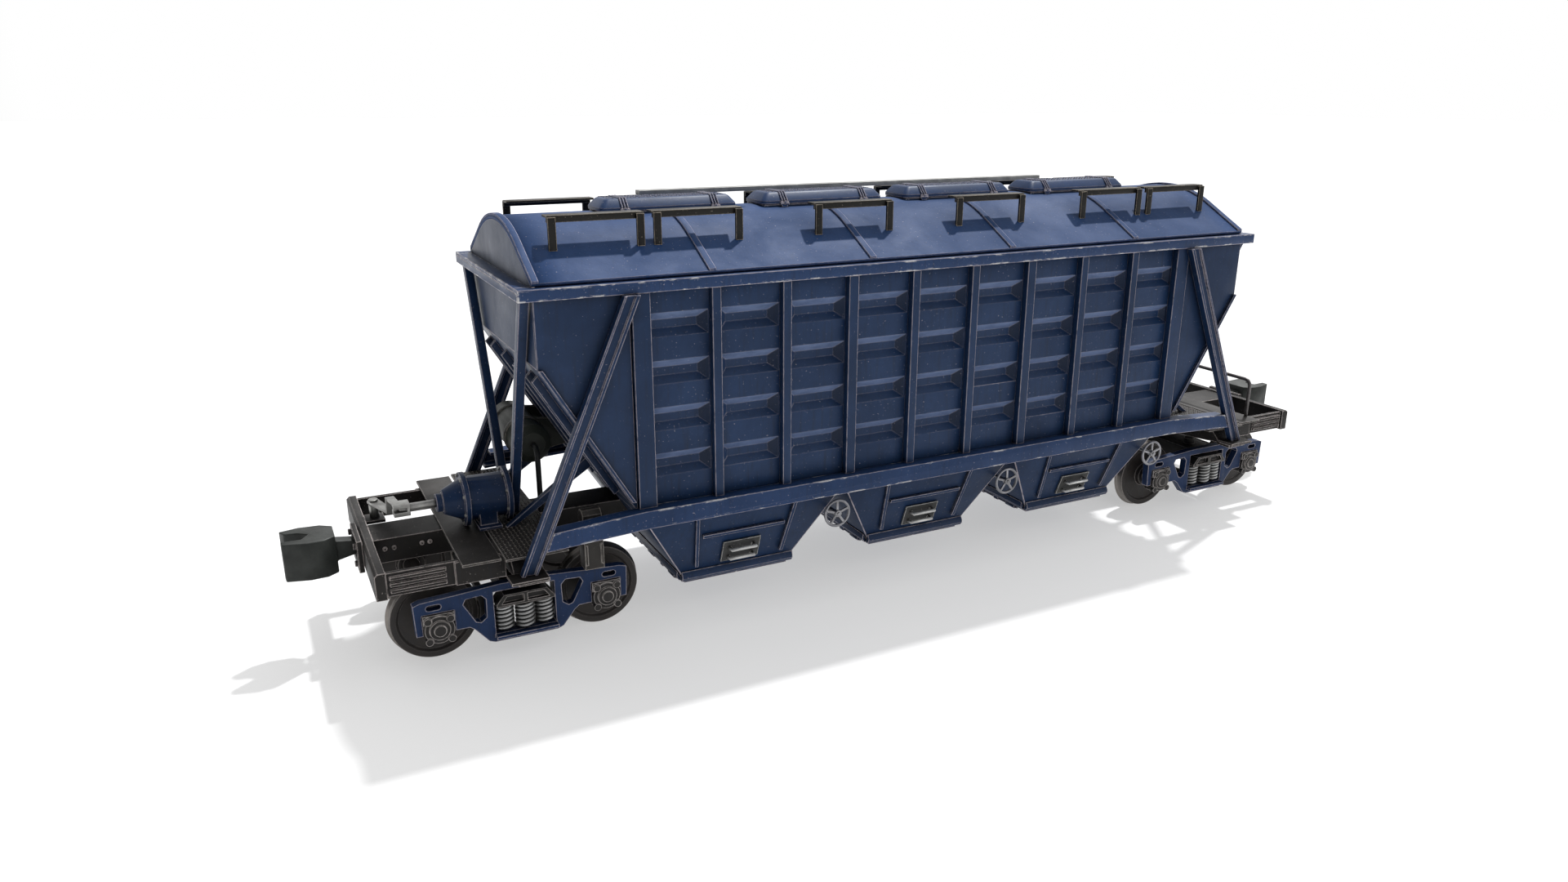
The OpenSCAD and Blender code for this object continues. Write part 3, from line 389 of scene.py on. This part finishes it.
def wheel_steel(name, axle):
    """Dark rolled steel whose tread and flange are rubbed bright; axle is (x, z) in metres."""
    s = Shader(name)
    split = s.node("ShaderNodeSeparateXYZ")
    s.link(s.coords, split.inputs[0])
    dx = s.math("SUBTRACT", split.outputs["X"], axle[0])
    dz = s.math("SUBTRACT", split.outputs["Z"], axle[1])
    radius = s.math("SQRT", s.math("ADD", s.math("MULTIPLY", dx, dx), s.math("MULTIPLY", dz, dz)))
    patches = s.noise(150, 5, 0.65)
    colour = s.mix(s.ramp(patches, 0.32, 0.7), srgb("#1e1b1a"), srgb("#2f2926"))
    # Painted shade, also standing for grime: darker in corners and under other pieces.
    colour = s.mix(s.math("MULTIPLY", s.hollows(4), 0.6), colour, srgb("#100e0d"))
    tread = s.ramp(radius, DISC_END, TREAD_START)
    colour = s.mix(s.math("MULTIPLY", tread, 0.8), colour, srgb("#8a8580"))
    turned, normal = s.edges(0.45)
    colour = s.mix(s.math("MULTIPLY", turned, 0.85), colour, srgb("#cdc4bf"))
    s.link(colour, s.bsdf.inputs["Base Color"])
    s.link(s.ramp(tread, 0, 1, 0.15, 0.85), s.bsdf.inputs["Metallic"])
    s.link(s.math("SUBTRACT", s.ramp(patches, 0.3, 0.7, 0.48, 0.68), s.math("MULTIPLY", tread, 0.25)),
           s.bsdf.inputs["Roughness"])
    s.link(s.bump(s.noise(600, 4, 0.6), 0.4, 0.07, normal), s.bsdf.inputs["Normal"])
    return s.material


def make_materials():
    """Every material by its slot name in the record."""
    return {
        "navy_paint": paint("navy_paint", "#1b3254", "#142743", dents=0.18),
        "roof_paint": paint("roof_paint", "#264371", "#1f3961", peel=0.9, rough=0.65, shade_and_grime=0.1, streaks=0.2),
        "cover_paint": paint("cover_paint", "#203a63", "#1a3052", peel=0.5, shade_and_grime=0.4),
        "frame_paint": paint("frame_paint", "#272422", "#1a1817", wear="#ded3cf", rough=0.5, peel=0.6),
        "deck_paint": paint("deck_paint", "#34312f", "#242220", wear="#c4bdb8", rough=0.5, peel=0.6),
        "coupler_iron": casting("coupler_iron", "#262a27", "#191c1a", wear="#8f918e"),
        "bench_paint": paint("bench_paint", "#1b1915", "#12110f", wear="#d2c3ae", wear_mm=0.3, peel=0.5),
        "board_metal": bare_metal("board_metal", "#a4a4a1", "#858583", 0.5, 0.5),
        "pin_steel": bare_metal("pin_steel", "#a3a3a0", "#7f7e7c"),
        "gear_paint": paint("gear_paint", "#1a2f50", "#13243f", rough=0.45),
        "tank_paint": paint("tank_paint", "#3c3f39", "#2c2f2a", wear="#a8a29a", rough=0.45),
        "pipe_paint": paint("pipe_paint", "#2c2d2e", "#1f2021", rough=0.38, wear="#9d9d9d"),
        "box_paint": paint("box_paint", "#35322f", "#272523", wear="#bdb6af"),
        "rail_steel": bare_metal("rail_steel", "#6e6a6a", "#4b4848", 0.42, 0.6, scratch=0.3),
        "spring_steel": bare_metal("spring_steel", "#b4b5b5", "#878786", 0.34, 0.85),
        "handwheel_steel": bare_metal("handwheel_steel", "#9a9a9f", "#6f6f73", 0.4, 0.75),
        "step_paint": paint("step_paint", "#4b4b4a", "#373736", wear="#d8d6d2", rough=0.5),
        "axle_box_iron": casting("axle_box_iron", "#242120", "#161413", wear="#e2dad6"),
        "bolster_iron": casting("bolster_iron", "#22201e", "#151413", wear="#d6cdc9"),
        "brake_iron": casting("brake_iron", "#262524", "#1b1a19"),
    }


MATERIALS = make_materials()
SILL_PAINT = paint("sill_paint", "#203961", "#192f51", chips=0.95, dents=0.1)
SIDE_PAINT = paint("side_paint", "#1c3457", "#152947", dents=0.3, shade_and_grime=0.3, streaks=0.4, pressed=True)
FRAME_CASTING = paint("frame_casting", "#1a3157", "#132645", wear="#cfc6cb", rough=0.5, peel=0.7, shade_and_grime=0.5)
RUNG_STEEL = bare_metal("rung_steel", "#e0e0de", "#bcbcba", 0.35, 0.55)


SPECIAL_PAINT = {
    "side_sills": SILL_PAINT,
    "eave_rails": SILL_PAINT,
    "side_sheets": SIDE_PAINT,
    "side_frames_left": FRAME_CASTING,
    "side_frames_right": FRAME_CASTING,
}
FINE_NODES = ("bench", "handwheel", "roof_board", "hatch", "brake", "step", "air", "springs", "door")
FINE_EDGE, PLATE_EDGE, COUPLER_EDGE = 0.1, 0.16, 0.5


def edge_width(node):
    """How wide a CAD node's edges are rounded, in millimetres."""
    if node.startswith(FINE_NODES):
        return FINE_EDGE
    return COUPLER_EDGE if node.startswith("coupler") else PLATE_EDGE


def dress_all_cad_nodes():
    """Gives each CAD node its slot's material, apart from the wheels and a few with a paint of their own."""
    slots = {p["node"]: p["material_slot"] for p in frame["record"]["subparts"]}
    for node in frame["nodes"]:
        if node.startswith("wheelset_"):
            axle = (low(node) + high(node)) / 2 * MM
            material = wheel_steel("wheel_steel_" + node.removeprefix("wheelset_"), (axle.x, axle.z))
        else:
            material = SPECIAL_PAINT.get(node) or MATERIALS[slots[node]]
        dress_cad_node(node, material, edge_width(node))


# ------------------------------------------------------------------ roof

ROOF_TOP = high("roof_sheet").z
SHEET = 1.2  # thickness of the roof sheet
ROOF_FOOT_Z = low("roof_sheet").z + SHEET
ROOF_FOOT_Y = high("roof_sheet").y
ROOF_END_X = high("roof_sheet").x
ROOF_SLOPE = 0.53  # rise of the straight flanks per millimetre across, as in part.scad
ROOF_TILT = math.atan(ROOF_SLOPE)
CROWN_R = (ROOF_FOOT_Z + ROOF_SLOPE * ROOF_FOOT_Y - ROOF_TOP) / (1 / math.cos(ROOF_TILT) - 1)
COVERS = [f"hatch_cover_{i}" for i in (1, 2, 3, 4)]
STRAP_X = 17.2  # from a cover's middle to each strap and hinge
MOUTH_INSET_X, MOUTH_INSET_Y = 0.8, 0.4  # from a cover's edge in to the mouth's edge
HOPPER_XS = [(low(f"door_{i}_left").x + high(f"door_{i}_right").x) / 2 for i in (1, 2, 3)]


def roof_height(y):
    """Height of the roof's outer surface: straight flanks that run into a round crown."""
    if abs(y) < CROWN_R * math.sin(ROOF_TILT):
        return ROOF_TOP - CROWN_R + math.sqrt(CROWN_R ** 2 - y ** 2)
    return ROOF_FOOT_Z + ROOF_SLOPE * (ROOF_FOOT_Y - abs(y))


def cover_span(node):
    """Middle and half length of a hatch cover along the wagon."""
    return (low(node).x + high(node).x) / 2, (high(node).x - low(node).x) / 2


def roof_skin():
    """One arched sheet with a mouth under each hatch, curved in place of the CAD strips."""
    mouth_y = -low(COVERS[0]).y - MOUTH_INSET_Y
    inner_steps, outer_steps, longest = 8, 14, 12
    inner = [mouth_y * i / inner_steps for i in range(inner_steps + 1)]
    start = math.asin(mouth_y / ROOF_FOOT_Y)
    outer = [ROOF_FOOT_Y * math.sin(start + (math.pi / 2 - start) * k / outer_steps)
             for k in range(outer_steps + 1)]
    half_ys = [round(y, 5) for y in inner + outer]
    ys = sorted(set(half_ys + [-y for y in half_ys]))
    spans = [cover_span(c) for c in COVERS]
    holes = [(x - half + MOUTH_INSET_X, x + half - MOUTH_INSET_X) for x, half in spans]
    edges = sorted(x for hole in holes for x in hole)
    xs = [-ROOF_END_X] + edges + [ROOF_END_X]
    fine = []
    for a, b in zip(xs, xs[1:]):
        count = max(1, round((b - a) / longest))
        fine += [a + (b - a) * i / count for i in range(count)]
    xs = fine + [ROOF_END_X]
    verts = [(x, y, roof_height(y)) for x in xs for y in ys]
    faces = []
    n = len(ys)
    for i in range(len(xs) - 1):
        for j in range(n - 1):
            x, y = (xs[i] + xs[i + 1]) / 2, (ys[j] + ys[j + 1]) / 2
            if abs(y) < mouth_y and any(a < x < b for a, b in holes):
                continue
            faces.append([i * n + j, (i + 1) * n + j, (i + 1) * n + j + 1, i * n + j + 1])
    b = Builder()
    b.add(verts, faces, True)
    skin = b.piece("roof_skin", "car_body", MATERIALS["roof_paint"], "roof_paint", replaces=["roof_sheet"])
    shell = skin.modifiers.new("thickness", "SOLIDIFY")
    shell.thickness = SHEET * MM
    shell.offset = -1
    return skin


def tread_studs(b, corner, far, z, pitch, size=0.5, tall=0.22):
    """Raised lozenges of a chequer plate between two (x, y) corners, turned alternately."""
    slim, top_share, sunk = 0.32, 0.55, 0.02
    (x0, y0), (x1, y1) = corner, far
    columns = int((x1 - x0) / pitch)
    rows = int((y1 - y0) / pitch)
    faces = [[0, 1, 5, 4], [1, 2, 6, 5], [2, 3, 7, 6], [3, 0, 4, 7], [4, 5, 6, 7], [3, 2, 1, 0]]
    for i in range(columns):
        for j in range(rows):
            cx = x0 + (i + 0.5) * (x1 - x0) / columns
            cy = y0 + (j + 0.5) * (y1 - y0) / rows
            along, across = (size, size * slim) if (i + j) % 2 else (size * slim, size)
            ring = [(-along, 0), (0, -across), (along, 0), (0, across)]
            foot = [(cx + x, cy + y, z - sunk) for x, y in ring]
            top = [(cx + x * top_share, cy + y * top_share, z + tall) for x, y in ring]
            b.add(foot + top, faces)


LID_RIM = 3.4  # from a cover's edge in to its flat top
LID_DIP = 0.1  # how far that flat top lies under the cover's highest point


def hatch_lid(index, node):
    """A pressed lid: upright skirt, sloped shoulder and flat top, with two hinge eyes."""
    lo, hi = low(node), high(node)
    cx, half = cover_span(node)
    half_y, z0, z1 = -lo.y, lo.z, hi.z
    hinge = joint_at(f"hatch_{index}_hinge")
    skirt = [(0, z0), (0, z0 + 1.2), (0.4, z0 + 1.7)]
    shoulder = [(2.1, z1 - 0.55), (2.8, z1 - 0.15), (LID_RIM, z1 - LID_DIP)]
    layers = skirt + shoulder
    corner_r, least_r, corner_points = 2.2, 0.8, 5
    corners = ((1, 1, 0), (-1, 1, 90), (-1, -1, 180), (1, -1, 270))
    verts = []
    for inset, z in layers:
        r = max(corner_r - inset * 0.3, least_r)
        hx, hy = half - inset - r, half_y - inset - r
        for sx, sy, start in corners:
            for k in range(corner_points):
                t = math.radians(start + 90 / (corner_points - 1) * k)
                verts.append((cx + sx * hx + r * math.cos(t), sy * hy + r * math.sin(t), z))
    b = Builder()
    b.shell(verts, len(layers), len(corners) * corner_points, False)
    eye_r, eye_half, arm_high, arm_in = 0.95, 1.3, 0.7, 0.8
    for x in (cx - STRAP_X, cx + STRAP_X):
        b.lathe([(eye_r, -eye_half), (eye_r, eye_half)], (x, hinge.y, hinge.z), (1, 0, 0), 20)
        b.box((x - eye_half, half_y - arm_in, hinge.z - arm_high),
              (x + eye_half, hinge.y, hinge.z + arm_high))
    b.piece(f"hatch_lid_{index}", f"hatch_{index}", MATERIALS["cover_paint"], "cover_paint", 0.12, [node])


def hatch_tread(index, node):
    """Raised studs on the lid's flat top, left out beside each strap."""
    cx, half = cover_span(node)
    half_y = -low(node).y - LID_RIM
    end, beside = half - LID_RIM - 0.2, 1.8
    b = Builder()
    for x0, x1 in ((-end, -STRAP_X - beside), (-STRAP_X + beside, STRAP_X - beside), (STRAP_X + beside, end)):
        tread_studs(b, (cx + x0, -half_y), (cx + x1, half_y), high(node).z - LID_DIP, 1.5)
    b.piece(f"hatch_tread_{index}", f"hatch_{index}", MATERIALS["cover_paint"], "cover_paint")


def hatch_straps(index, node):
    """Two straps over the lid, each of three wires, with a block and a pin on the near side."""
    lo, hi = low(node), high(node)
    cx, _ = cover_span(node)
    near, z0, top = lo.y, lo.z, hi.z + 0.02
    wire_r, wire_gap, shoulder = 0.3, 1.05, 2.5
    path = [(near - 0.25, z0 + 0.2), (near - 0.25, z0 + 1.5), (near + shoulder, top),
            (-near - shoulder, top), (-near + 0.2, z0 + 1.6)]
    b = Builder()
    for x in (cx - STRAP_X, cx + STRAP_X):
        for offset in (-wire_gap, 0, wire_gap):
            b.tube([(x + offset, y, z) for y, z in path], wire_r)
        b.box((x - 1.7, near - 0.8, z0 - 0.1), (x + 1.7, near - 0.1, z0 + 0.9))
        b.lathe([(0.4, -1.8), (0.4, 1.8)], (x, near - 0.6, z0), (1, 0, 0), 12)
    b.piece(f"hatch_straps_{index}", f"hatch_{index}", MATERIALS["cover_paint"], "cover_paint", 0.08)


def latches():
    """A latch block with a bolt under each strap's near end, standing on the roof."""
    half_x, reach, back = 1.2, 0.9, 0.2
    b = Builder()
    for node in COVERS:
        cx, _ = cover_span(node)
        y = low(node).y + back
        foot = roof_height(y)
        for x in (cx - STRAP_X, cx + STRAP_X):
            b.box((x - half_x, y - reach, foot - 0.2), (x + half_x, y - back, low(node).z + 0.1))
            b.bolt((x, y - reach, foot + 1.6), (0, -1, 0), 0.5, 0.4)
    b.piece("hatch_latches", "car_body", MATERIALS["roof_paint"], "roof_paint", 0.08)


# ------------------------------------------------------------------ running gear

SPRING_R, SPRING_WIRE, SPRING_TURNS, SPRING_STEPS = 2.8, 0.62, 6, 20
SPRING_CORE = 1.6  # radius of the rod inside each coil
END_LIFT = 0.02  # share of the height by which a coil's end is moved inwards


def coil_path(x, y, z0, z1):
    """Points of one spring, whose first and last turns rise a little less than the others."""
    count = SPRING_STEPS * SPRING_TURNS
    path = []
    for k in range(count + 1):
        t = k / count
        lift = END_LIFT * max(1 - min(t, 1 - t) * SPRING_TURNS, 0)
        rise = t + lift if t < 0.5 else t - lift
        angle = 2 * math.pi * SPRING_TURNS * t
        z = z0 + SPRING_WIRE + (z1 - z0 - 2 * SPRING_WIRE) * rise
        path.append((x + SPRING_R * math.cos(angle), y + SPRING_R * math.sin(angle), z))
    return path


def spring_coils(side):
    """Six wound coils in place of the CAD sleeves, three on each side."""
    node = f"springs_{side}"
    lo, hi = low(node), high(node)
    middle = (lo.x + hi.x) / 2
    outer_x, outer_in, middle_in = 6.9, 4.4, 3.4
    b = Builder()
    for sy in (-1, 1):
        for x, inset in ((-outer_x, outer_in), (0, middle_in), (outer_x, outer_in)):
            at = (middle + x, sy * (hi.y - inset))
            b.tube(coil_path(*at, lo.z, hi.z), SPRING_WIRE)
            b.lathe([(SPRING_CORE, 0), (SPRING_CORE, hi.z - lo.z)], (*at, lo.z), (0, 0, 1), 16)
    coils = b.piece(f"spring_coils_{side}", f"bogie_{side}_frame", MATERIALS["spring_steel"],
                    "spring_steel", replaces=[node])
    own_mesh(coils)


def platform_bolts():
    """Bolt heads in two pairs on both sides of the centre sill, near each of its ends."""
    bolt_xs, bolt_z = (187.4, 190.1, 199.4, 202.4), 36.2
    sill_y = high("centre_sill").y
    b = Builder()
    for end in (LEFT, RIGHT):
        for sy in (-1, 1):
            for x in bolt_xs:
                b.bolt((end * x, sy * sill_y, bolt_z), (0, sy, 0), 0.65, 0.55)
    b.piece("sill_bolts", "car_body", MATERIALS["frame_paint"], "frame_paint")


def brake_details():
    """A ring of bolt heads on each of the brake cylinder's two flanges, on the side towards -X."""
    lo, hi = low("brake_cylinder"), high("brake_cylinder")
    axis_y, axis_z = (lo.y + hi.y) / 2, hi.z - 9.5
    ring_r, count = 8.6, 8
    b = Builder()
    for x in (lo.x + 8.6, hi.x - 1.8):
        for k in range(count):
            t = 2 * math.pi * (k + 0.5) / count
            b.bolt((x, axis_y + ring_r * math.cos(t), axis_z + ring_r * math.sin(t)), (-1, 0, 0), 0.6, 0.6)
    b.piece("cylinder_bolts", "car_body", MATERIALS["pin_steel"], "pin_steel")


def deck_tread():
    """Raised pattern of the chequered deck plates."""
    inner_x, outer_x, half_y = 149, 169.2, 46
    top = high("deck_plates").z
    for side, end in ENDS:
        b = Builder()
        x0, x1 = sorted((end * inner_x, end * outer_x))
        tread_studs(b, (x0, -half_y), (x1, half_y), top, 1.4, tall=0.2)
        b.piece(f"deck_tread_{side}", "car_body", MATERIALS["deck_paint"], "deck_paint")


def step_rungs():
    """Bright rungs bent from rod, two in front of each step plate."""
    plate_y, bottom = high("step_plates").y, low("step_plates").z
    rung_zs = (bottom + 1.8, bottom + 6)
    lean, half_x, depth, rod_r = 0.43, 5, 2.6, 0.68
    b = Builder()
    for x in HOPPER_XS:
        for sy in (-1, 1):
            for z in rung_zs:
                y = plate_y - lean * (rung_zs[-1] - z)
                wall = y - depth
                path = [(x - half_x, sy * wall, z), (x - half_x, sy * y, z),
                        (x + half_x, sy * y, z), (x + half_x, sy * wall, z)]
                b.tube(path, rod_r, 10)
    b.piece("step_rungs", "car_body", RUNG_STEEL, "step_paint")


# ------------------------------------------------------------------ camera, floor, light

# The view that was fitted to the photograph; angles in degrees, place in metres, lens in millimetres
CAMERA_AZIMUTH, CAMERA_ELEVATION, CAMERA_ROLL = -27.0529, 17.869, 0.1539
CAMERA_AT = (-0.23619, -0.37613, 0.18631)
CAMERA_LENS, CAMERA_SENSOR = 24.845, 36


def camera():
    """Stands at the near left, a little above the roof line, with a moderately wide lens."""
    azimuth, elevation, roll = (
        math.radians(a) for a in (CAMERA_AZIMUTH, CAMERA_ELEVATION, CAMERA_ROLL))
    back = Vector((math.sin(azimuth) * math.cos(elevation), -math.cos(azimuth) * math.cos(elevation),
                   math.sin(elevation)))
    across = Vector((0, 0, 1)).cross(back).normalized()
    up = back.cross(across)
    x = across * math.cos(roll) + up * math.sin(roll)
    y = up * math.cos(roll) - across * math.sin(roll)
    data = bpy.data.cameras.new("camera")
    data.sensor_width = CAMERA_SENSOR
    data.lens = CAMERA_LENS
    data.clip_start = 0.01
    eye = bpy.data.objects.new("camera", data)
    turned = Matrix((x, y, back)).transposed().to_4x4()
    eye.matrix_world = Matrix.Translation(CAMERA_AT) @ turned
    bpy.context.scene.collection.objects.link(eye)
    bpy.context.scene.camera = eye


FLOOR_GLOW = 0.45
BRIGHT_SIDE = (0.93, 0.36, 0.0)  # direction in which the surroundings are white
DIM_LEVEL, BRIGHT_LEVEL = 0.12, 1.0
SUN_FROM = (0.5, 0.35, 1.0)
SUN_ENERGY, SUN_ANGLE = 3.2, math.radians(2.5)


def floor():
    """A wide pale floor that also glows a little, so shadows on it stay pale."""
    mesh = bpy.data.meshes.new("floor")
    half = 8
    corners = [(-half, -half, 0), (half, -half, 0), (half, half, 0), (-half, half, 0)]
    mesh.from_pydata(corners, [], [[0, 1, 2, 3]])
    obj = bpy.data.objects.new("floor", mesh)
    bpy.context.scene.collection.objects.link(obj)
    s = Shader("floor_white")
    pale, paler = (0.52, 0.52, 0.52, 1), (0.55, 0.55, 0.55, 1)
    s.link(s.mix(s.noise(6, 2), paler, pale), s.bsdf.inputs["Base Color"])
    s.bsdf.inputs["Roughness"].default_value = 0.9
    s.bsdf.inputs["Specular IOR Level"].default_value = 0.05
    s.bsdf.inputs["Emission Color"].default_value = (1, 1, 1, 1)
    s.bsdf.inputs["Emission Strength"].default_value = FLOOR_GLOW
    mesh.materials.append(s.material)


def light():
    """Surroundings that are white towards BRIGHT_SIDE and dim towards -X, and one high sun."""
    scene = bpy.context.scene
    scene.view_settings.view_transform = "Standard"
    world = bpy.data.worlds.new("surroundings")
    world.use_nodes = True
    nodes, links = world.node_tree.nodes, world.node_tree.links
    aim = nodes.new("ShaderNodeTexCoord")
    side = nodes.new("ShaderNodeVectorMath")
    side.operation = "DOT_PRODUCT"
    side.inputs[1].default_value = BRIGHT_SIDE
    links.new(aim.outputs["Generated"], side.inputs[0])
    level = nodes.new("ShaderNodeMapRange")
    settings = {"From Min": -0.8, "From Max": 0.25, "To Min": DIM_LEVEL, "To Max": BRIGHT_LEVEL}
    for socket, number in settings.items():
        level.inputs[socket].default_value = number
    links.new(side.outputs["Value"], level.inputs["Value"])
    links.new(level.outputs["Result"], nodes["Background"].inputs["Strength"])
    nodes["Background"].inputs["Color"].default_value = (1, 1, 1, 1)
    scene.world = world
    data = bpy.data.lights.new("key", "SUN")
    data.energy = SUN_ENERGY
    data.angle = SUN_ANGLE
    lamp = bpy.data.objects.new("key", data)
    lamp.rotation_euler = Vector(SUN_FROM).to_track_quat("Z", "Y").to_euler()
    scene.collection.objects.link(lamp)


camera()
floor()
light()
dress_all_cad_nodes()
roof_skin()
for number, cover in enumerate(COVERS, 1):
    hatch_lid(number, cover)
    hatch_tread(number, cover)
    hatch_straps(number, cover)
latches()
for side_name, _ in ENDS:
    spring_coils(side_name)
platform_bolts()
brake_details()
deck_tread()
step_rungs()
